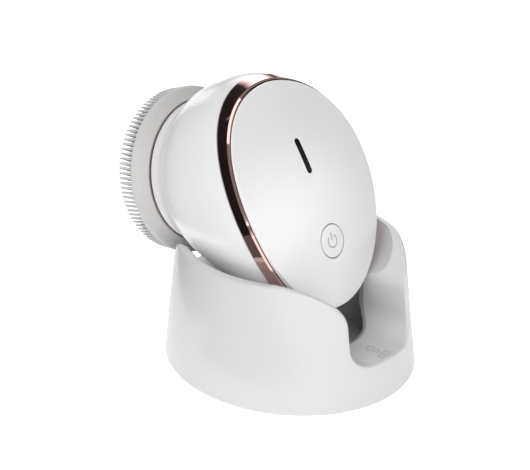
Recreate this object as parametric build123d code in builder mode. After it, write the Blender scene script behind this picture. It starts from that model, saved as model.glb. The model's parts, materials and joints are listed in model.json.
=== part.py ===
"""Facial cleansing brush standing in its desk cradle.

Frame: origin at the centre of the cradle underside, +Z up, the symmetry
plane is XZ, the brush faces -X and the cable slot of the cradle opens to +X.
"""
import os
from math import cos, radians, sin, pi

from build123d import *

os.makedirs("parts", exist_ok=True)

# ---------------------------------------------------------------- dimensions
# cradle
CRADLE_A = 45.0          # half length of the oval foot
CRADLE_B = 40.8          # half width of the oval foot
CRADLE_TAPER = 0.114     # inward slope of the side wall
CRADLE_H = 43.5
CRADLE_Z0 = 0.15         # the mat lifts the shell by this much
FOOT_ROUND = 0.6
RIM_ROUND = 1.3
SLOT_ROUND = 0.9
SLOT_FLOOR = 14.0
SLOT_HALF = 15.3
WELL_X = 10.0
WELL_R = 18.3
LINER_WALL = 0.9
WELL_FLOOR = 8.0
# height, x of the centre, half length and half width of the dish sections
DISH = [(31.0, 10.0, 18.4, 18.3), (37.0, 3.2, 32.2, 29.2), (44.5, 0.0, 38.0, 34.0)]
NOTCH_R = 28.4
NOTCH_Z = 51.0
PLATE_EDGE = 4.5         # from the foot's edge to the recess of the base plate
PLATE_RECESS = 3.4
BALLAST_A = 30.0
BALLAST_B = 26.0
BALLAST_T = 2.5
MAT_T = 1.45
POCKET_H = 22.0
POCKET_RIB = 14.0
SCREW_GRID = (54, 36)
SCREW_R = 1.2
SCREW_HEAD_R = 2.2
SEAT_GAP = 0.45          # air between the handle and its seat

# handle
BRUSH_TILT = 12.9        # brush axis below the horizontal
FACE_TILT = 25.2         # back cover normal above the horizontal
NECK_POS = (-39.7, 57.4)  # x, z of the neck ring centre
NECK_R = 24.6
FACE_POS = (5.03, 60.34)  # x, z of the back cover centre
FACE_HALF = 39.3
FACE_W = 31.9
WALL = 2.0
PARTING_R = 179.7        # curved parting line seen from the side
PARTING_RISE = 4.35
BAND_W = 5.0
BAND_PROUD = 0.25        # the trim stands out from the shell
COVER_INSET = 0.45       # the back cover lies inside the trim
SEAL_INSET = 0.7
CROWN_R = 130.0
CROWN_SIDE_R = 218.0
CROWN_RISE = 7.4
CROWN_SHIFT = 2.7
JOINT_GAP = 0.12
SEAL_GAP = 0.35          # room for the seal under the back cover

# controls
BUTTON_S = 16.7          # button position below the cover centre
BUTTON_R = 5.35
BUTTON_HOLE_R = 5.8
SLIT_S = -12.75
SLIT_L = 12.2
SLIT_W = 2.3
BOARD_W = -0.98          # top of the circuit board, from the cover's plane
BOARD_T = 1.2
BOARD_HOLES = [(22, 13), (22, -13), (-22, 13), (-22, -13)]
PILOT_R = 1.05
CELL_R = 7.0
CELL_L = 34.0
CELL_POS = (1.5, 40.0)
PORT_L = 9.6
PORT_W = 4.0
PORT_S = 30.0

# drive
SHAFT_R = 3.0
SHAFT_CLEAR = 0.05
GEAR_R = 10.0            # pitch radius of the output gear
GEAR_TEETH = 20
PINION_R = 4.0
PINION_TEETH = 8
GEAR_SPAN = 14.2         # distance between the gear axes
GEAR_U = -10.4
GEAR_T = 3.0
TOOTH = [(0, -0.7), (2.0, -0.35), (2.0, 0.35), (0, 0.7)]
TOOTH_ROOT = 1.3
BEARING_R = 5.45
BEARING_U = -6.4
MOTOR_R = 8.0
MOTOR_L = 20.0
MOTOR_U = -33.0
MOTOR_POS = (0, -GEAR_SPAN)
BRACKET_U = -12.95
BRACKET_T = 1.8
POSTS = [(15.6, 9.0), (-15.6, 9.0), (15.6, -9.0), (-15.6, -9.0)]
POST_U = -11.1
HEX_R = 2.6

# brush head
RIM_R = 29.1
RIM_U = 5.4
COLLAR_R = 25.0
NECK_RING_R = 24.8
HUB_R = 23.0
HUB_T = 1.8
HEAD_GAP = 0.45
BRISTLE_R = 28.7
BRISTLE_L = 6.4

# ------------------------------------------------------------------- planes
BP = radians(BRUSH_TILT)
FP = radians(FACE_TILT)
brush_out = Vector(-cos(BP), 0, -sin(BP))
brush_plane = Plane(origin=(NECK_POS[0], 0, NECK_POS[1]), x_dir=(0, 1, 0), z_dir=brush_out)
brush_axis = Axis(brush_plane.origin, brush_out)
up_w = Vector(-sin(BP), 0, cos(BP))
face_out = Vector(cos(FP), 0, sin(FP))
face_down = Vector(sin(FP), 0, -cos(FP))
face_plane = Plane(origin=(FACE_POS[0], 0, FACE_POS[1]), x_dir=face_down, z_dir=face_out)


def station(depth, rise, tilt):
    """Section plane at a depth behind the neck ring."""
    a = radians(BRUSH_TILT + tilt)
    x = NECK_POS[0] + depth * cos(BP) - rise * sin(BP)
    z = NECK_POS[1] + depth * sin(BP) + rise * cos(BP)
    return Plane(origin=(x, 0, z), x_dir=(sin(a), 0, -cos(a)), z_dir=(cos(a), 0, sin(a)))


# the body is widest, and sits a little higher, just in front of the trim band
flare_plane = Plane(
    origin=face_plane.origin - face_out * 5.0 - face_down * 0.9,
    x_dir=face_down,
    z_dir=face_out,
)

# plane, half length, half width, teardrop, second teardrop term
SECTIONS = [
    (station(0.36, 0.0, 0.0), NECK_R, NECK_R, 0.0, 0.0),
    (station(3.6, 0.0, 0.0), NECK_R + 0.2, NECK_R + 0.2, 0.0, 0.0),
    (station(6.2, -0.2, 0.5), 26.2, 26.0, 0.0, 0.0),
    (station(10.0, -0.8, 2.0), 29.2, 28.6, 0.02, 0.005),
    (station(16.0, -2.2, 4.5), 33.2, 30.8, 0.05, 0.012),
    (station(25.0, -4.9, 8.5), 37.8, 32.1, 0.08, 0.02),
    (flare_plane, 40.9, 32.5, 0.10, 0.025),
    (face_plane, FACE_HALF, FACE_W, 0.112, 0.027),
    (face_plane.offset(5.0), 38.5, 31.6, 0.112, 0.027),
    (face_plane.offset(10.0), 36.8, 30.4, 0.112, 0.027),
]


def body_form(inset, first=0):
    """Solid teardrop body, every section pulled in by the inset."""
    with BuildPart() as form:
        for plane, half, width, k, k2 in SECTIONS[first:]:
            h = half - inset
            w = width - inset
            ring = [2 * pi * i / 20 for i in range(20)]
            pts = [(-h * cos(t), w * sin(t) * (1 + k * cos(t) + k2 * cos(2 * t))) for t in ring]
            with BuildSketch(plane):
                with BuildLine():
                    Spline(*pts, periodic=True)
                make_face()
        loft()
    return form.part


def parting_form(radius):
    """Everything in front of the curved parting line."""
    with BuildPart() as form:
        with BuildSketch(Plane.XZ):
            cx = FACE_POS[0] - (PARTING_R - PARTING_RISE) * cos(FP)
            cz = FACE_POS[1] - (PARTING_R - PARTING_RISE) * sin(FP)
            with Locations((cx, cz)):
                Circle(radius)
        extrude(amount=60, both=True)
    return form.part


def crown_form(inset):
    """Barrel that gives the back cover its crown."""
    r = CROWN_R - inset
    start = face_plane.origin + face_down * CROWN_SHIFT + face_out * (CROWN_RISE - CROWN_R)
    edge = r - 45 * 45 / (2 * CROWN_SIDE_R)
    with BuildPart() as form:
        with BuildSketch(Plane(origin=start, x_dir=(0, 1, 0), z_dir=face_down)):
            with BuildLine():
                ThreePointArc((-45, edge), (0, r), (45, edge))
                Polyline((45, edge), (45, 0), (-45, 0), (-45, edge))
            make_face()
        revolve(axis=Axis(start, (0, 1, 0)))
    return form.part


outer = body_form(0)
inner = body_form(WALL, 1)
band_inner = body_form(1.5, 1)
grown = body_form(-SEAT_GAP)
before_band = parting_form(PARTING_R - BAND_W)
before_cover = parting_form(PARTING_R)
crown = crown_form(0)
crown_inner = crown_form(WALL)

port_plane = Plane(
    origin=face_plane.origin + face_down * PORT_S - face_out * 10,
    x_dir=(0, 1, 0),
    z_dir=face_down,
)

# ------------------------------------------------------------ cradle shapes
with BuildPart() as slot_form:
    with BuildSketch(Plane.YZ.offset(WELL_X)):
        with BuildLine():
            Line((0, SLOT_FLOOR), (SLOT_HALF - 7, SLOT_FLOOR))
            RadiusArc((SLOT_HALF - 7, SLOT_FLOOR), (SLOT_HALF, SLOT_FLOOR + 7), -7)
            Line((SLOT_HALF, SLOT_FLOOR + 7), (SLOT_HALF, 28.5))
            Spline((SLOT_HALF, 28.5), (17.2, 35.0), (22.5, 40.1), (33, 44.6),
                   tangents=[(0, 1), (1, 0.25)])
            Polyline((33, 44.6), (33, 60), (0, 60))
            mirror(about=Plane.YZ)
        make_face()
    extrude(amount=50)

with BuildPart() as notch_form:
    with BuildSketch(Plane.YZ.offset(-12)):
        with Locations((0, NOTCH_Z)):
            Circle(NOTCH_R)
    extrude(amount=-50)

with BuildPart() as dish_form:
    for z, x, half, width in DISH:
        with BuildSketch(Plane.XY.offset(z)):
            with Locations((x, 0)):
                Ellipse(half, width)
    loft()

# ------------------------------------------------------------------- cradle
with BuildPart() as cradle_shell:
    with BuildSketch(Plane.XY.offset(CRADLE_Z0)):
        Ellipse(CRADLE_A, CRADLE_B)
    with BuildSketch(Plane.XY.offset(CRADLE_H)):
        top_in = CRADLE_TAPER * CRADLE_H
        Ellipse(CRADLE_A - top_in, CRADLE_B - top_in)
    loft()
    fillet(cradle_shell.edges().group_by(Axis.Z)[0], FOOT_ROUND)
    fillet(cradle_shell.edges().group_by(Axis.Z)[-1], RIM_ROUND)
    add(slot_form.part, mode=Mode.SUBTRACT)
    wall = cradle_shell.faces().sort_by(SortBy.AREA)[-1]
    lip = wall.edges().filter_by(lambda e: (e @ 0.5).X > 0 and (e @ 0.5).Z > SLOT_FLOOR - 0.5)
    fillet(lip, SLOT_ROUND)
    with Locations((WELL_X, 0, WELL_FLOOR)):
        Cylinder(WELL_R, 40, align=(Align.CENTER, Align.CENTER, Align.MIN), mode=Mode.SUBTRACT)
    add(dish_form.part, mode=Mode.SUBTRACT)
    add(notch_form.part, mode=Mode.SUBTRACT)
    add(grown, mode=Mode.SUBTRACT)
    # recess for the base plate and hollow side pockets
    with BuildSketch(Plane.XY):
        Ellipse(CRADLE_A - PLATE_EDGE, CRADLE_B - PLATE_EDGE)
    extrude(amount=PLATE_RECESS, mode=Mode.SUBTRACT)
    with BuildSketch(Plane.XY):
        Ellipse(BALLAST_A, BALLAST_B)
    extrude(amount=PLATE_RECESS + BALLAST_T, mode=Mode.SUBTRACT)
    with BuildSketch(Plane.XY.offset(PLATE_RECESS)):
        Ellipse(CRADLE_A - PLATE_EDGE - 2, CRADLE_B - PLATE_EDGE - 2)
        Rectangle(2 * CRADLE_A, 2 * WELL_R + 5, mode=Mode.SUBTRACT)
        Rectangle(POCKET_RIB, 2 * CRADLE_B, mode=Mode.SUBTRACT)
    extrude(amount=POCKET_H, mode=Mode.SUBTRACT)
    # pilot holes for the base screws
    with BuildSketch(Plane.XY):
        with GridLocations(*SCREW_GRID, 2, 2):
            Circle(SCREW_R + 0.05)
    extrude(amount=8, mode=Mode.SUBTRACT)

with BuildPart() as base_plate:
    with BuildSketch(Plane.XY.offset(1.5)):
        Ellipse(CRADLE_A - PLATE_EDGE - 0.2, CRADLE_B - PLATE_EDGE - 0.2)
        with GridLocations(*SCREW_GRID, 2, 2):
            Circle(SCREW_R + 0.1, mode=Mode.SUBTRACT)
    extrude(amount=1.8)

with BuildPart() as ballast:
    with BuildSketch(Plane.XY.offset(PLATE_RECESS - 0.05)):
        Ellipse(BALLAST_A - 0.4, BALLAST_B - 0.4)
        RectangleRounded(12, 12, 2, mode=Mode.SUBTRACT)
    extrude(amount=BALLAST_T)

with BuildPart() as foot_mat:
    with BuildSketch(Plane.XY):
        Ellipse(CRADLE_A - PLATE_EDGE - 1.7, CRADLE_B - PLATE_EDGE - 1.7)
    extrude(amount=MAT_T)
    fillet(foot_mat.edges().group_by(Axis.Z)[0], 0.35)
    with BuildSketch(Plane.XY.offset(0.7)):
        with GridLocations(*SCREW_GRID, 2, 2):
            Circle(SCREW_HEAD_R + 0.4)
    extrude(amount=1.0, mode=Mode.SUBTRACT)

with BuildPart() as base_screws:
    with GridLocations(*SCREW_GRID, 2, 2):
        with Locations((0, 0, 0.75)):
            Cylinder(SCREW_HEAD_R, 0.72, align=(Align.CENTER, Align.CENTER, Align.MIN))
        with Locations((0, 0, MAT_T)):
            Cylinder(SCREW_R, 6.0, align=(Align.CENTER, Align.CENTER, Align.MIN))

with BuildPart() as seat_liner:
    with Locations((WELL_X, 0, WELL_FLOOR + 0.05)):
        Cylinder(WELL_R - 0.05, 23, align=(Align.CENTER, Align.CENTER, Align.MIN))
    with Locations((WELL_X, 0, WELL_FLOOR + 1.8)):
        Cylinder(
            WELL_R - LINER_WALL,
            30,
            align=(Align.CENTER, Align.CENTER, Align.MIN),
            mode=Mode.SUBTRACT,
        )
    add(slot_form.part, mode=Mode.SUBTRACT)
    add(dish_form.part, mode=Mode.SUBTRACT)
    add(notch_form.part, mode=Mode.SUBTRACT)
    add(grown, mode=Mode.SUBTRACT)

# ------------------------------------------------------------- handle shell
with BuildPart() as front_shell:
    add(outer)
    add(before_band, mode=Mode.INTERSECT)
    add(inner, mode=Mode.SUBTRACT)
    # screw posts for the motor bracket, on the inside of the neck wall
    with BuildSketch(brush_plane.offset(POST_U)):
        with Locations(*POSTS):
            Circle(2.5)
    extrude(amount=8.5)
    with BuildSketch(brush_plane.offset(POST_U)):
        with Locations(*POSTS):
            Circle(PILOT_R)
    extrude(amount=6.5, mode=Mode.SUBTRACT)
    # seat of the shaft bearing
    with BuildSketch(brush_plane.offset(BEARING_U)):
        Circle(BEARING_R + 1.75)
    extrude(amount=3.5)
    with BuildSketch(brush_plane):
        Circle(BEARING_R + 0.05)
    extrude(amount=-12, mode=Mode.SUBTRACT)
    # opening of the charging port
    with BuildSketch(port_plane):
        SlotOverall(PORT_L, PORT_W)
    extrude(amount=20, mode=Mode.SUBTRACT)

with BuildPart() as trim_band:
    add(body_form(-BAND_PROUD))
    add(parting_form(PARTING_R - SEAL_GAP), mode=Mode.INTERSECT)
    add(parting_form(PARTING_R - BAND_W + JOINT_GAP), mode=Mode.SUBTRACT)
    rims = trim_band.edges().sort_by(SortBy.LENGTH)[-2:]
    chamfer(rims, 0.5)
    add(band_inner, mode=Mode.SUBTRACT)

with BuildPart() as cover_seal:
    add(body_form(SEAL_INSET, 1))
    add(parting_form(PARTING_R - 0.02), mode=Mode.INTERSECT)
    add(parting_form(PARTING_R - SEAL_GAP + 0.02), mode=Mode.SUBTRACT)
    add(band_inner, mode=Mode.SUBTRACT)

with BuildPart() as cover_pocket:
    add(inner)
    add(crown_inner, mode=Mode.INTERSECT)

with BuildPart() as board_posts:
    with BuildSketch(face_plane.offset(BOARD_W + 0.03)):
        with Locations(*BOARD_HOLES):
            Circle(2.4)
    extrude(amount=12)
    add(crown_form(1.0), mode=Mode.INTERSECT)

with BuildPart() as back_cover:
    add(body_form(COVER_INSET))
    add(before_cover, mode=Mode.SUBTRACT)
    add(crown, mode=Mode.INTERSECT)
    crown_edge = back_cover.faces().sort_by(Axis(face_plane.origin, face_out))[-1].edges()
    fillet(crown_edge, 0.5)
    add(cover_pocket.part, mode=Mode.SUBTRACT)
    with BuildSketch(face_plane):
        with Locations((BUTTON_S, 0)):
            Circle(BUTTON_HOLE_R)
        with Locations((SLIT_S, 0)):
            SlotOverall(SLIT_L, SLIT_W)
    extrude(amount=20, mode=Mode.SUBTRACT)
    add(board_posts.part)
    with BuildSketch(face_plane.offset(BOARD_W + 0.03)):
        with Locations(*BOARD_HOLES):
            Circle(PILOT_R)
    extrude(amount=4.3, mode=Mode.SUBTRACT)
    # collar that guides the button
    with BuildSketch(face_plane.offset(1.2)):
        with Locations((BUTTON_S, 0)):
            Circle(BUTTON_HOLE_R + 1.4)
            Circle(BUTTON_HOLE_R, mode=Mode.SUBTRACT)
    extrude(amount=4.6)

with BuildPart() as light_guide:
    with BuildSketch(face_plane.offset(2.2)):
        with Locations((SLIT_S, 0)):
            SlotOverall(SLIT_L - 0.1, SLIT_W - 0.1)
    extrude(amount=12)
    with BuildSketch(face_plane.offset(2.2)):
        with Locations((SLIT_S, 0)):
            SlotOverall(SLIT_L + 2.4, SLIT_W + 2.4)
    extrude(amount=1.2)
    add(crown, mode=Mode.INTERSECT)

# ------------------------------------------------------------ power button
with BuildPart() as button_cap:
    with BuildSketch(face_plane.offset(1.6)):
        with Locations((BUTTON_S, 0)):
            Circle(BUTTON_R)
    extrude(amount=12)
    add(crown, mode=Mode.INTERSECT)

# -------------------------------------------------------------- electronics
with BuildPart() as main_board:
    with BuildSketch(face_plane.offset(BOARD_W - BOARD_T - 0.02)):
        RectangleRounded(52, 34, 4)
        with Locations(*BOARD_HOLES):
            Circle(PILOT_R + 0.1, mode=Mode.SUBTRACT)
    extrude(amount=BOARD_T)

with BuildPart() as tact_switch:
    with BuildSketch(face_plane.offset(BOARD_W)):
        with Locations((BUTTON_S, 0)):
            RectangleRounded(5.2, 5.2, 0.4)
    extrude(amount=1.1)
    with BuildSketch(face_plane.offset(0.1)):
        with Locations((BUTTON_S, 0)):
            Circle(1.5)
    extrude(amount=0.55)

with BuildPart() as indicator_leds:
    with BuildSketch(face_plane.offset(BOARD_W)):
        with Locations((SLIT_S - 3.6, 0), (SLIT_S, 0), (SLIT_S + 3.6, 0)):
            Rectangle(1.6, 0.9)
    extrude(amount=0.8)

with BuildPart() as control_chip:
    with BuildSketch(face_plane.offset(-3.6)):
        with Locations((2, -8)):
            RectangleRounded(7, 7, 0.3)
    extrude(amount=1.38)

with BuildPart() as board_screws:
    with BuildSketch(face_plane.offset(-2.22)):
        with Locations(*BOARD_HOLES):
            Circle(1.0)
    extrude(amount=5.0)
    with BuildSketch(face_plane.offset(-3.3)):
        with Locations(*BOARD_HOLES):
            Circle(1.9)
    extrude(amount=1.08)

with BuildPart() as battery_cell:
    with BuildSketch(Plane.XZ.offset(-CELL_L / 2)):
        with Locations(CELL_POS):
            Circle(CELL_R)
    extrude(amount=CELL_L)

with BuildPart() as battery_cradle:
    with BuildSketch(Plane.XZ.offset(-10)):
        with Locations(CELL_POS):
            Circle(CELL_R + 1.6)
            Circle(CELL_R + 0.05, mode=Mode.SUBTRACT)
        with Locations((CELL_POS[0], CELL_POS[1] + 9)):
            Rectangle(30, 8, mode=Mode.SUBTRACT)
    extrude(amount=20)

with BuildPart() as charging_socket:
    with BuildSketch(port_plane.offset(-4)):
        SlotOverall(PORT_L - 0.7, PORT_W - 0.7)
    extrude(amount=8.6)
    with BuildSketch(port_plane.offset(-2)):
        SlotOverall(PORT_L - 1.3, PORT_W - 1.3)
    extrude(amount=10, mode=Mode.SUBTRACT)
    with BuildSketch(port_plane.offset(-2.5)):
        Rectangle(6.6, 0.7)
    extrude(amount=6)

with BuildPart() as port_plug:
    with BuildSketch(port_plane.offset(5.0)):
        SlotOverall(PORT_L - 0.4, PORT_W - 0.4)
    extrude(amount=20)
    add(outer, mode=Mode.INTERSECT)

# ----------------------------------------------------------- drive on axis
with BuildPart() as neck_ring:
    with BuildSketch(brush_plane.offset(-0.34)):
        Circle(NECK_RING_R)
        Circle(22.4, mode=Mode.SUBTRACT)
    extrude(amount=0.52)
    outer_edge = neck_ring.edges().group_by(brush_axis)[-1].sort_by(SortBy.LENGTH)[-1]
    fillet(outer_edge, 0.2)

with BuildPart() as shaft_bearing:
    with BuildSketch(brush_plane.offset(BEARING_U)):
        Circle(BEARING_R)
        Circle(SHAFT_R + SHAFT_CLEAR, mode=Mode.SUBTRACT)
    extrude(amount=4.2)

with BuildPart() as shaft_seal:
    with BuildSketch(brush_plane.offset(-2.1)):
        Circle(BEARING_R)
        Circle(SHAFT_R + SHAFT_CLEAR, mode=Mode.SUBTRACT)
    extrude(amount=1.2)

with BuildPart() as drive_shaft:
    with BuildSketch(brush_plane.offset(-13.6)):
        Circle(SHAFT_R)
    extrude(amount=14.4)
    with BuildSketch(brush_plane.offset(0.7)):
        RegularPolygon(HEX_R, 6)
    extrude(amount=3.2)

with BuildPart() as output_gear:
    with BuildSketch(brush_plane.offset(GEAR_U)):
        Circle(GEAR_R - TOOTH_ROOT + 0.2)
        with PolarLocations(GEAR_R - TOOTH_ROOT, GEAR_TEETH):
            with BuildLine():
                Polyline(*TOOTH, close=True)
            make_face()
        Circle(SHAFT_R + 0.02, mode=Mode.SUBTRACT)
        with PolarLocations(6.0, 5):
            Circle(1.3, mode=Mode.SUBTRACT)
    extrude(amount=GEAR_T)

pinion_plane = Plane(
    origin=brush_plane.origin + up_w * GEAR_SPAN + brush_out * GEAR_U,
    x_dir=(0, 1, 0),
    z_dir=brush_out,
)

with BuildPart() as motor_pinion:
    with BuildSketch(pinion_plane):
        Circle(PINION_R - TOOTH_ROOT + 0.2)
        with PolarLocations(PINION_R - TOOTH_ROOT, PINION_TEETH, start_angle=180 / PINION_TEETH):
            with BuildLine():
                Polyline(*TOOTH, close=True)
            make_face()
        Circle(1.02, mode=Mode.SUBTRACT)
    extrude(amount=GEAR_T)

with BuildPart() as motor_shaft:
    with BuildSketch(brush_plane.offset(-20.0)):
        with Locations(MOTOR_POS):
            Circle(1.0)
    extrude(amount=12.8)

with BuildPart() as rear_bearing:
    with BuildSketch(brush_plane.offset(-14.2)):
        Circle(4.45)
        Circle(SHAFT_R + SHAFT_CLEAR, mode=Mode.SUBTRACT)
    extrude(amount=3.2)

with BuildPart() as drive_motor:
    with BuildSketch(brush_plane.offset(MOTOR_U)):
        with Locations(MOTOR_POS):
            Circle(MOTOR_R)
    extrude(amount=MOTOR_L)
    with BuildSketch(brush_plane.offset(MOTOR_U + MOTOR_L)):
        with Locations(MOTOR_POS):
            Circle(2.8)
    extrude(amount=0.9)
    with BuildSketch(brush_plane.offset(MOTOR_U - 1.4)):
        with Locations(MOTOR_POS):
            Circle(2.6)
    extrude(amount=1.4)
    with BuildSketch(brush_plane):
        with Locations(MOTOR_POS):
            Circle(1.06)
    extrude(amount=-20.2, mode=Mode.SUBTRACT)

with BuildPart() as motor_bracket:
    with BuildSketch(brush_plane.offset(BRACKET_U)):
        Circle(20.8)
        with Locations(MOTOR_POS):
            Circle(9.0)
        Circle(4.5, mode=Mode.SUBTRACT)
        with Locations(MOTOR_POS):
            Circle(2.9, mode=Mode.SUBTRACT)
        with Locations(*POSTS):
            Circle(PILOT_R + 0.1, mode=Mode.SUBTRACT)
    extrude(amount=BRACKET_T)
    with BuildSketch(brush_plane.offset(BRACKET_U - 5.05)):
        with Locations(MOTOR_POS):
            Circle(MOTOR_R + 1.1)
            Circle(MOTOR_R + 0.05, mode=Mode.SUBTRACT)
    extrude(amount=5.1)

with BuildPart() as bracket_screws:
    with BuildSketch(brush_plane.offset(BRACKET_U - 1.0)):
        with Locations(*POSTS):
            Circle(1.9)
    extrude(amount=0.95)
    with BuildSketch(brush_plane.offset(-13.1)):
        with Locations(*POSTS):
            Circle(1.0)
    extrude(amount=7.0)

# --------------------------------------------------------------- brush head
with BuildPart() as brush_hub:
    with BuildSketch(brush_plane.offset(HEAD_GAP + 0.35)):
        Circle(HUB_R)
    extrude(amount=HUB_T)
    with BuildSketch(brush_plane.offset(HEAD_GAP + 0.35)):
        Circle(6.5)
    extrude(amount=3.7)
    with BuildSketch(brush_plane):
        RegularPolygon(HEX_R + 0.12, 6)
    extrude(amount=4.1, mode=Mode.SUBTRACT)

profile_plane = Plane(origin=brush_plane.origin, x_dir=(0, 1, 0), z_dir=up_w)
collar_foot = (COLLAR_R, HEAD_GAP + 0.05)

with BuildPart() as brush_collar:
    with BuildSketch(profile_plane):
        with BuildLine():
            Polyline((0, RIM_U), (RIM_R - 0.5, RIM_U), (RIM_R, RIM_U - 0.5))
            Spline((RIM_R, RIM_U - 0.5), (27.2, 2.7), collar_foot, tangents=[(-0.3, -1), (-1, -0.9)])
            Polyline(
                collar_foot,
                (HUB_R + 0.1, HEAD_GAP + 0.05),
                (HUB_R + 0.1, 2.65),
                (6.6, 2.65),
                (6.6, 4.75),
                (0, 4.75),
                (0, RIM_U),
            )
        make_face()
    revolve(axis=brush_axis)

with BuildPart() as bristle_field:
    with BuildSketch(brush_plane.offset(RIM_U + 0.02)):
        Circle(BRISTLE_R)
    extrude(amount=BRISTLE_L)

PIECES = {
    "cradle_shell": cradle_shell,
    "base_plate": base_plate,
    "ballast": ballast,
    "foot_mat": foot_mat,
    "base_screws": base_screws,
    "seat_liner": seat_liner,
    "front_shell": front_shell,
    "trim_band": trim_band,
    "cover_seal": cover_seal,
    "back_cover": back_cover,
    "light_guide": light_guide,
    "button_cap": button_cap,
    "main_board": main_board,
    "tact_switch": tact_switch,
    "indicator_leds": indicator_leds,
    "control_chip": control_chip,
    "board_screws": board_screws,
    "battery_cell": battery_cell,
    "battery_cradle": battery_cradle,
    "charging_socket": charging_socket,
    "port_plug": port_plug,
    "neck_ring": neck_ring,
    "shaft_bearing": shaft_bearing,
    "shaft_seal": shaft_seal,
    "drive_shaft": drive_shaft,
    "output_gear": output_gear,
    "motor_pinion": motor_pinion,
    "motor_shaft": motor_shaft,
    "rear_bearing": rear_bearing,
    "drive_motor": drive_motor,
    "motor_bracket": motor_bracket,
    "bracket_screws": bracket_screws,
    "brush_hub": brush_hub,
    "brush_collar": brush_collar,
    "bristle_field": bristle_field,
}
for name, piece in PIECES.items():
    piece.part.label = name
    export_step(piece.part, f"parts/{name}.step")
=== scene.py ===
"""Looks of the facial cleansing brush and its cradle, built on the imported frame."""

import json
from math import cos, pi, radians, sin, sqrt

import bmesh
import bpy
from mathutils import Matrix, Vector


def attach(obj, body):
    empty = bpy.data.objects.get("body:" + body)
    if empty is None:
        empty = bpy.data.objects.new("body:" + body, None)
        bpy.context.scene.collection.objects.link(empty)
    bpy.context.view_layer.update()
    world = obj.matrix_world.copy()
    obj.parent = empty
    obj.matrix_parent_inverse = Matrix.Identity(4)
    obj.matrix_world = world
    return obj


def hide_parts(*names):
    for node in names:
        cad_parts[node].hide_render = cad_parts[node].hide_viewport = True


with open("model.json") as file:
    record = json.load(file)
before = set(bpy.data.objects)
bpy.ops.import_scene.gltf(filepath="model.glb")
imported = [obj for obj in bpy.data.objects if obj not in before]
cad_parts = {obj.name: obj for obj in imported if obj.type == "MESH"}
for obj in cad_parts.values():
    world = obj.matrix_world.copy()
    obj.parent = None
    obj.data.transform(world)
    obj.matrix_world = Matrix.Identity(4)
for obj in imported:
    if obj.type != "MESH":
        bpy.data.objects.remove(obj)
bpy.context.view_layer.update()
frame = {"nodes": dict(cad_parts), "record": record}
NODES = frame["nodes"]
MM = 0.001

# ------------------------------------------------------------- the CAD frame
BRUSH_TILT = radians(12.9)
FACE_TILT = radians(25.2)
NECK = Vector((-39.7, 0, 57.4)) * MM
FACE = Vector((5.03, 0, 60.34)) * MM
Y = Vector((0, 1, 0))
BRUSH_OUT = Vector((-cos(BRUSH_TILT), 0, -sin(BRUSH_TILT)))
FACE_OUT = Vector((cos(FACE_TILT), 0, sin(FACE_TILT)))
FACE_DOWN = Vector((sin(FACE_TILT), 0, -cos(FACE_TILT)))
SLOT_FLOOR = 14.0 * MM
BUTTON_S = 16.7 * MM
CROWN_R = 130.0 * MM
CROWN_SIDE_R = 218.0 * MM
CROWN_RISE = 7.4 * MM
CROWN_SHIFT = 2.7 * MM


def axes(origin, x_axis, z_axis):
    """Matrix of a local frame from its origin, x and z directions."""
    y_axis = z_axis.cross(x_axis)
    m = Matrix((x_axis, y_axis, z_axis)).transposed().to_4x4()
    m.translation = origin
    return m


HEAD = axes(NECK, Y, BRUSH_OUT)
PLATE = axes(FACE, FACE_DOWN, FACE_OUT)


def crown_height(s, y):
    """Height of the cover's crown above the plate plane."""
    r = CROWN_R - y * y / (2 * CROWN_SIDE_R)
    d = s - CROWN_SHIFT
    return sqrt(r * r - d * d) + CROWN_RISE - CROWN_R


# ----------------------------------------------------------------- materials
GLOSS_SPREAD = 0.05      # how far the roughness wanders around its value


def material(
    name, color, rough, metal=0.0, coat=0.0, tint=0.0, grain=900.0, bump=0.0, veil=0.25, shine=0.5
):
    """Principled material with a faint procedural variation of tone and gloss.

    tint is how much darker its darkest patches are, grain the scale of the
    patches, veil the roughness of the coat and shine the specular level.
    """
    m = bpy.data.materials.new(name)
    m.use_nodes = True
    tree = m.node_tree
    shader = tree.nodes["Principled BSDF"]
    shader.inputs["Metallic"].default_value = metal
    shader.inputs["Coat Weight"].default_value = coat
    shader.inputs["Coat Roughness"].default_value = veil
    shader.inputs["Specular IOR Level"].default_value = shine
    coords = tree.nodes.new("ShaderNodeTexCoord")
    noise = tree.nodes.new("ShaderNodeTexNoise")
    noise.inputs["Scale"].default_value = grain
    noise.inputs["Detail"].default_value = 3.0
    tree.links.new(coords.outputs["Object"], noise.inputs["Vector"])
    tone = tree.nodes.new("ShaderNodeValToRGB")
    tone.color_ramp.elements[0].position = 0.3
    tone.color_ramp.elements[1].position = 0.7
    tone.color_ramp.elements[0].color = (*[c * (1 - tint) for c in color], 1)
    tone.color_ramp.elements[1].color = (*color, 1)
    tree.links.new(noise.outputs["Fac"], tone.inputs["Fac"])
    tree.links.new(tone.outputs["Color"], shader.inputs["Base Color"])
    gloss = tree.nodes.new("ShaderNodeMapRange")
    gloss.inputs["To Min"].default_value = rough * (1 - GLOSS_SPREAD)
    gloss.inputs["To Max"].default_value = rough * (1 + GLOSS_SPREAD)
    tree.links.new(noise.outputs["Fac"], gloss.inputs["Value"])
    tree.links.new(gloss.outputs["Result"], shader.inputs["Roughness"])
    if bump:
        relief = tree.nodes.new("ShaderNodeBump")
        relief.inputs["Strength"].default_value = bump
        relief.inputs["Distance"].default_value = 0.0001
        tree.links.new(noise.outputs["Fac"], relief.inputs["Height"])
        tree.links.new(relief.outputs["Normal"], shader.inputs["Normal"])
    return m


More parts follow.
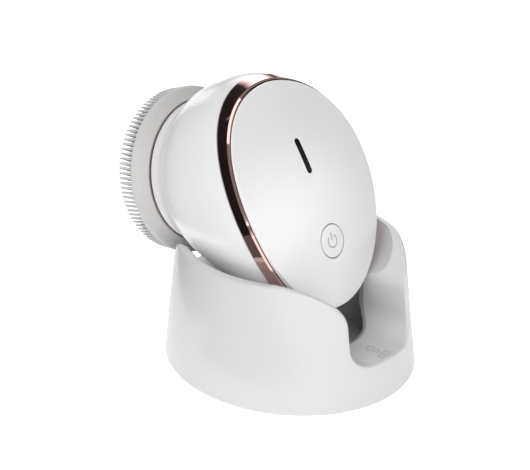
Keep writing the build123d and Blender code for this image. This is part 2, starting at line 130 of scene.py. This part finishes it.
WHITE = material("white_gloss", (0.86, 0.86, 0.865), 0.22, coat=0.5, tint=0.015, grain=60)
CRADLE = material(
    "cradle_white", (0.70, 0.70, 0.705), 0.34, coat=0.5, tint=0.02, grain=80, veil=0.15
)
# grey silicone of the liner in the cradle's well: partly its own colour, partly painted shade of the
# well under the device
LINER_AND_WELL_SHADE = material(
    "charcoal_silicone", (0.40, 0.40, 0.41), 0.55, tint=0.2, grain=1500, bump=0.2
)
RUBBER = material("grey_rubber", (0.20, 0.20, 0.21), 0.6, tint=0.15, grain=1800, bump=0.3)
# darker copy of the rose gold for the neck ring: painted shade and painted dark reflection of the
# groove it sits in
ROSE_GOLD_PAINTED_SHADE = material("rose_gold_painted_shade", (0.26, 0.15, 0.14), 0.2, metal=1.0, tint=0.05, grain=300)
ROSE = material("rose_gold", (0.83, 0.56, 0.52), 0.07, metal=1.0, tint=0.03, grain=300)
# dark rubber of the seal ring in the gap round the cover: partly its own colour, partly painted shade
# of that gap
SEAL_AND_GAP_SHADE = material("seal_rubber", (0.10, 0.065, 0.06), 0.6, tint=0.15, grain=1500)
LENS = material("black_lens", (0.004, 0.004, 0.005), 0.2, tint=0.1, grain=500, shine=0.12)
SILICONE = material("brush_silicone", (0.62, 0.61, 0.60), 0.42, tint=0.05, grain=1200, bump=0.05)
BRISTLE = material("bristle_silicone", (0.66, 0.65, 0.64), 0.45, tint=0.08, grain=2500)
HUB = material("hub_plastic", (0.6, 0.6, 0.6), 0.4, tint=0.05, grain=900)
STEEL = material("steel", (0.55, 0.55, 0.57), 0.3, metal=1.0, tint=0.12, grain=1600)
BRASS = material("bearing_brass", (0.72, 0.53, 0.25), 0.28, metal=1.0, tint=0.1, grain=1600)
GEAR = material("gear_plastic", (0.78, 0.73, 0.60), 0.38, tint=0.06, grain=1100)
DARK = material("bracket_plastic", (0.05, 0.05, 0.055), 0.42, tint=0.2, grain=1500, bump=0.15)
BOARD = material("board_green", (0.012, 0.13, 0.05), 0.3, tint=0.3, grain=700)
LED = material("led_lens", (0.85, 0.78, 0.5), 0.2, tint=0.1, grain=800)
CELL = material("cell_wrap", (0.03, 0.09, 0.32), 0.32, tint=0.1, grain=400)
SOCKET = material("socket_steel", (0.75, 0.75, 0.77), 0.15, metal=1.0, tint=0.05, grain=1200)
PLASTIC = material("base_white", (0.70, 0.70, 0.71), 0.5, tint=0.04, grain=1400, bump=0.1)
MARK = material("mark_grey", (0.42, 0.42, 0.43), 0.45, tint=0.1, grain=1500)
GROOVE = material("groove_grey", (0.45, 0.45, 0.46), 0.5, tint=0.1, grain=1500)

LOOKS = {
    "white_gloss": WHITE,
    "cradle_white": CRADLE,
    "base_white": PLASTIC,
    "charcoal_silicone": LINER_AND_WELL_SHADE,
    "grey_rubber": RUBBER,
    "rose_gold": ROSE,
    "seal_rubber": SEAL_AND_GAP_SHADE,
    "black_lens": LENS,
    "brush_silicone": SILICONE,
    "hub_plastic": HUB,
    "steel": STEEL,
    "bearing_brass": BRASS,
    "gear_plastic": GEAR,
    "bracket_plastic": DARK,
    "board_green": BOARD,
    "led_lens": LED,
    "cell_wrap": CELL,
    "socket_steel": SOCKET,
}


def paint(obj, look):
    obj.data.materials.clear()
    obj.data.materials.append(look)


for part in frame["record"]["subparts"]:
    paint(NODES[part["node"]], LOOKS[part["material_slot"]])
# the neck ring takes the darker rose gold, which paints in its shade and dark reflection
paint(NODES["neck_ring"], ROSE_GOLD_PAINTED_SHADE)


# -------------------------------------------------------------------- pieces
def piece(name, bm, body, look, smooth=True):
    """Turns a bmesh in world metres into a named piece that rides on a body."""
    bmesh.ops.recalc_face_normals(bm, faces=bm.faces)
    mesh = bpy.data.meshes.new(name)
    bm.to_mesh(mesh)
    bm.free()
    for face in mesh.polygons:
        face.use_smooth = smooth
    obj = bpy.data.objects.new(name, mesh)
    bpy.context.scene.collection.objects.link(obj)
    mesh.materials.append(look)
    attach(obj, body)
    return obj


BRISTLE_BASE = 5.36 * MM
BRISTLE_LENGTH = 6.42 * MM
BRISTLE_PITCH = 1.66 * MM
BRISTLE_SIDES = 8
# share of the length and radius in millimetres, from foot to rounded tip
BRISTLE_PROFILE = ((0.0, 0.52), (0.55, 0.46), (0.86, 0.38), (0.96, 0.27), (1.0, 0.10))
RINGS = 17
FIRST_RING = 1.6
LAST_RING = 28.1


def bristles():
    """Concentric rings of short tapered fingers standing on the brush face."""
    bm = bmesh.new()
    for ring in range(RINGS):
        radius = (FIRST_RING + (LAST_RING - FIRST_RING) * ring / (RINGS - 1)) * MM
        count = max(5, round(2 * pi * radius / BRISTLE_PITCH))
        for i in range(count):
            a = 2 * pi * (i + 0.5 * (ring % 2)) / count
            centre = Vector((radius * cos(a), radius * sin(a), 0))
            loops = []
            for t, r in BRISTLE_PROFILE:
                height = BRISTLE_BASE + t * BRISTLE_LENGTH
                loop = []
                for k in range(BRISTLE_SIDES):
                    b = 2 * pi * k / BRISTLE_SIDES
                    spot = centre + Vector((r * MM * cos(b), r * MM * sin(b), height))
                    loop.append(bm.verts.new(HEAD @ spot))
                loops.append(loop)
            for low, high in zip(loops, loops[1:]):
                for k in range(BRISTLE_SIDES):
                    n = (k + 1) % BRISTLE_SIDES
                    bm.faces.new((low[k], low[n], high[n], high[k]))
            bm.faces.new(loops[0])
            bm.faces.new(loops[-1])
    field = piece("bristle_rings", bm, "brush_head", BRISTLE)
    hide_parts("bristle_field")


def ribbon(bm, points, width, height, lift, place, closed=False):
    """Raised strip along a path; place maps (u, v, h) to world."""
    n = len(points)
    rows = []
    for i, p in enumerate(points):
        before = points[i - 1] if (i or closed) else p
        after = points[(i + 1) % n] if (i < n - 1 or closed) else p
        d = (after - before).normalized()
        side = Vector((-d.y, d.x)) * width / 2
        row = []
        for q, h in ((p + side, lift), (p + side * 0.7, lift + height),
                     (p - side * 0.7, lift + height), (p - side, lift)):
            row.append(bm.verts.new(place(q.x, q.y, h)))
        rows.append(row)
    spans = n if closed else n - 1
    for i in range(spans):
        a = rows[i]
        b = rows[(i + 1) % n]
        for k in range(4):
            bm.faces.new((a[k], a[(k + 1) % 4], b[(k + 1) % 4], b[k]))
    if not closed:
        bm.faces.new(rows[0])
        bm.faces.new(rows[-1])


def arc(cx, cy, r, start, end, steps):
    """Points of an arc in degrees."""
    out = []
    for i in range(steps + 1):
        a = radians(start + (end - start) * i / steps)
        out.append(Vector((cx + r * cos(a), cy + r * sin(a))))
    return out


def on_button(s, y, h):
    """A point above the cover's crown, measured from the button centre."""
    return PLATE @ Vector((BUTTON_S + s, y, crown_height(BUTTON_S + s, y) + h))


POWER_R = 2.1 * MM
POWER_LINE = 0.5 * MM
POWER_RELIEF = 0.06 * MM
SUNK = -0.02 * MM        # marks start this far below the surface that carries them


def power_mark():
    """Power symbol raised on the button."""
    bm = bmesh.new()
    ribbon(bm, arc(0, 0, POWER_R, 218, 502, 40), POWER_LINE, POWER_RELIEF, SUNK, on_button)
    bar = [Vector((-2.9 * MM, 0)), Vector((-1.5 * MM, 0)), Vector((-0.3 * MM, 0))]
    ribbon(bm, bar, POWER_LINE, POWER_RELIEF, SUNK, on_button)
    piece("power_mark", bm, "power_button", MARK)


GASKET_R = 5.575 * MM
GASKET_W = 0.34 * MM
GASKET_H = 0.5 * MM
GASKET_DEPTH = -0.75 * MM


def button_gasket():
    """Soft ring that shows in the gap around the button."""
    bm = bmesh.new()
    circle = arc(0, 0, GASKET_R, 0, 354, 59)
    ribbon(bm, circle, GASKET_W, GASKET_H, GASKET_DEPTH, on_button, closed=True)
    piece("button_gasket", bm, "handle", GROOVE)


def on_floor(x, y, h):
    return Vector((x, y, SLOT_FLOOR + h))


MARK_W = 0.34 * MM
MARK_H = 0.12 * MM
ARROW_TIP = 33.2
ARROW_NECK = 35.4
ARROW_END = 38.2
ARROW_HALF = 1.9
SHAFT_HALF = 0.75
PORT_X = 40.6
PORT_R = 1.0
PORT_HALF = 1.6


def floor_marks():
    """Inward arrow and a port outline moulded on the slot floor."""
    bm = bmesh.new()
    arrow = [
        (ARROW_TIP, 0.0),
        (ARROW_NECK, ARROW_HALF),
        (ARROW_NECK, SHAFT_HALF),
        (ARROW_END, SHAFT_HALF),
        (ARROW_END, -SHAFT_HALF),
        (ARROW_NECK, -SHAFT_HALF),
        (ARROW_NECK, -ARROW_HALF),
    ]
    ribbon(bm, [Vector(p) * MM for p in arrow], MARK_W, MARK_H, SUNK, on_floor, closed=True)
    shift = Vector((0, PORT_HALF * MM))
    port = [v + shift for v in arc(PORT_X * MM, 0, PORT_R * MM, 0, 180, 10)]
    port += [v - shift for v in arc(PORT_X * MM, 0, PORT_R * MM, 180, 360, 10)]
    ribbon(bm, port, MARK_W, MARK_H, SUNK, on_floor, closed=True)
    tongue = [Vector((PORT_X, -1.3)) * MM, Vector((PORT_X, 1.3)) * MM]
    ribbon(bm, tongue, MARK_W, MARK_H, SUNK, on_floor)
    piece("slot_marks", bm, "cradle", MARK, smooth=False)


bristles()
power_mark()
button_gasket()
floor_marks()


# --------------------------------------------------------------------- stage
def flat(name, size, place, look):
    """Plain rectangle of the stage."""
    mesh = bpy.data.meshes.new(name)
    bm = bmesh.new()
    bmesh.ops.create_grid(bm, x_segments=1, y_segments=1, size=0.5)
    bm.to_mesh(mesh)
    bm.free()
    obj = bpy.data.objects.new(name, mesh)
    obj.matrix_world = place @ Matrix.Diagonal((size[0], size[1], 1, 1))
    bpy.context.scene.collection.objects.link(obj)
    mesh.materials.append(look)
    return obj


FLOOR = material("floor", (0.93, 0.93, 0.93), 0.6, tint=0.005, grain=5)
FLOOR.node_tree.nodes["Principled BSDF"].inputs["Emission Color"].default_value = (1, 1, 1, 1)


def seen_or_lit(tree, seen, lit):
    """One value for what the camera sees and another for the light that is given."""
    path = tree.nodes.new("ShaderNodeLightPath")
    level = tree.nodes.new("ShaderNodeMapRange")
    level.inputs["To Min"].default_value = lit
    level.inputs["To Max"].default_value = seen
    tree.links.new(path.outputs["Is Camera Ray"], level.inputs["Value"])
    return level.outputs["Result"]


FLOOR.node_tree.links.new(
    seen_or_lit(FLOOR.node_tree, 0.62, 0.42),
    FLOOR.node_tree.nodes["Principled BSDF"].inputs["Emission Strength"],
)
FLOOR_Z = -0.0003        # just clear of the foot mat
flat("floor", (6, 6), Matrix.Translation((0, 0, FLOOR_Z)), FLOOR)


LIGHT_AIM = Vector((0, 0, 0.05))


def area_light(name, place, size, power):
    """Soft rectangular light that looks at the object."""
    data = bpy.data.lights.new(name, "AREA")
    data.shape = "RECTANGLE"
    data.size = size[0]
    data.size_y = size[1]
    data.energy = power
    obj = bpy.data.objects.new(name, data)
    direction = LIGHT_AIM - Vector(place)
    obj.rotation_euler = direction.to_track_quat("-Z", "Y").to_euler()
    obj.location = place
    bpy.context.scene.collection.objects.link(obj)
    return obj


world = bpy.data.worlds.new("studio")
world.use_nodes = True
world.node_tree.nodes["Background"].inputs["Color"].default_value = (1, 1, 1, 1)
world.node_tree.links.new(
    seen_or_lit(world.node_tree, 1.0, 0.25),
    world.node_tree.nodes["Background"].inputs["Strength"],
)
bpy.context.scene.world = world
bpy.context.scene.view_settings.view_transform = "Standard"

area_light("key", (0.05, -0.95, 0.62), (0.8, 0.8), 3.4)
area_light("front", (0.9, -0.45, 0.45), (0.7, 0.7), 3.9)
area_light("top", (-0.15, -0.05, 1.0), (0.8, 0.8), 2.7)
area_light("side", (-0.8, -0.3, 0.5), (0.4, 0.4), 0.5)
area_light("back_left", (-0.8, 0.45, 0.25), (0.55, 0.4), 0.8)
area_light("rear", (-0.6, 0.7, 0.75), (0.7, 0.7), 2.4)

# cards that the camera does not see: most only show in the mirror trim and the glossy shells
def glow(name, strength):
    """Light that is brightest in the middle of its card and fades to the edge."""
    m = bpy.data.materials.new(name)
    m.use_nodes = True
    tree = m.node_tree
    tree.nodes.clear()
    coords = tree.nodes.new("ShaderNodeTexCoord")
    double = tree.nodes.new("ShaderNodeMapping")
    double.inputs["Scale"].default_value = (2, 2, 2)
    fade = tree.nodes.new("ShaderNodeTexGradient")
    fade.gradient_type = "SPHERICAL"
    level = tree.nodes.new("ShaderNodeMapRange")
    level.interpolation_type = "SMOOTHSTEP"
    level.inputs["To Max"].default_value = strength
    light = tree.nodes.new("ShaderNodeEmission")
    out = tree.nodes.new("ShaderNodeOutputMaterial")
    tree.links.new(coords.outputs["Object"], double.inputs["Vector"])
    tree.links.new(double.outputs["Vector"], fade.inputs["Vector"])
    tree.links.new(fade.outputs["Fac"], level.inputs["Value"])
    tree.links.new(level.outputs["Result"], light.inputs["Strength"])
    tree.links.new(light.outputs["Emission"], out.inputs["Surface"])
    return m


def one_sided(look):
    """Lets rays that come from behind the surface pass."""
    tree = look.node_tree
    shader = tree.nodes["Principled BSDF"]
    facing = tree.nodes.new("ShaderNodeNewGeometry")
    clear = tree.nodes.new("ShaderNodeBsdfTransparent")
    mix = tree.nodes.new("ShaderNodeMixShader")
    out = tree.nodes["Material Output"]
    tree.links.new(facing.outputs["Backfacing"], mix.inputs["Fac"])
    tree.links.new(shader.outputs["BSDF"], mix.inputs[1])
    tree.links.new(clear.outputs["BSDF"], mix.inputs[2])
    tree.links.new(mix.outputs["Shader"], out.inputs["Surface"])
    return look


BLACK = material("card_black", (0.002, 0.002, 0.002), 1.0, tint=0.1)
GREY = one_sided(material("card_grey", (0.12, 0.12, 0.12), 1.0, tint=0.1))


def card(name, centre, size, facing, look, rays=("glossy",)):
    """Rectangle beside the object that only the named kinds of ray can meet."""
    z_axis = Vector(facing).normalized()
    x_axis = Vector((0, 0, 1)).cross(z_axis).normalized()
    plane = flat(name, size, axes(Vector(centre), x_axis, z_axis), look)
    for ray in ("camera", "diffuse", "glossy", "shadow", "transmission", "volume_scatter"):
        setattr(plane, "visible_" + ray, ray in rays)


card("card_left", (-0.062, -0.064, 0.082), (0.20, 0.160), (0.76, 0.65, 0), BLACK)
card("card_top", (-0.16, -0.075, 0.348), (0.52, 0.15), (0.5, 0.05, -0.86), BLACK)
card("card_floor", (-0.17, -0.04, 0.002), (0.26, 0.20), (0.001, 0, 1), GREY, ("diffuse",))
card("card_front", (0.01, -0.125, 0.002), (0.13, 0.10), (0.001, 0, 1), GREY)
card("card_cover", (0.725, 0.486, 0.26), (1.0, 0.8), (-0.80, -0.54, -0.22), glow("glow_cover", 3.2))
card("card_crown", (-0.314, 0.355, 0.275), (0.36, 0.36), (0.6, -0.71, -0.36), glow("glow_crown", 3.0))

# -------------------------------------------------------------------- camera
AZIMUTH = radians(40.84)
ELEVATION = radians(25.5)
DISTANCE = 0.470
LENS_MM = 95.38
SENSOR_MM = 36
AIM_HEIGHT = 0.045
AIM_LEFT = 0.00832
AIM_DOWN = 0.00043
back = Vector((sin(AZIMUTH) * cos(ELEVATION), -cos(AZIMUTH) * cos(ELEVATION), sin(ELEVATION)))
right = Vector((cos(AZIMUTH), sin(AZIMUTH), 0))
up = back.cross(right)
target = Vector((0, 0, AIM_HEIGHT)) - right * AIM_LEFT - up * AIM_DOWN
camera_data = bpy.data.cameras.new("camera")
camera_data.lens = LENS_MM
camera_data.sensor_width = SENSOR_MM
camera = bpy.data.objects.new("camera", camera_data)
camera.matrix_world = axes(target + back * DISTANCE, right, back)
bpy.context.scene.collection.objects.link(camera)
bpy.context.scene.camera = camera
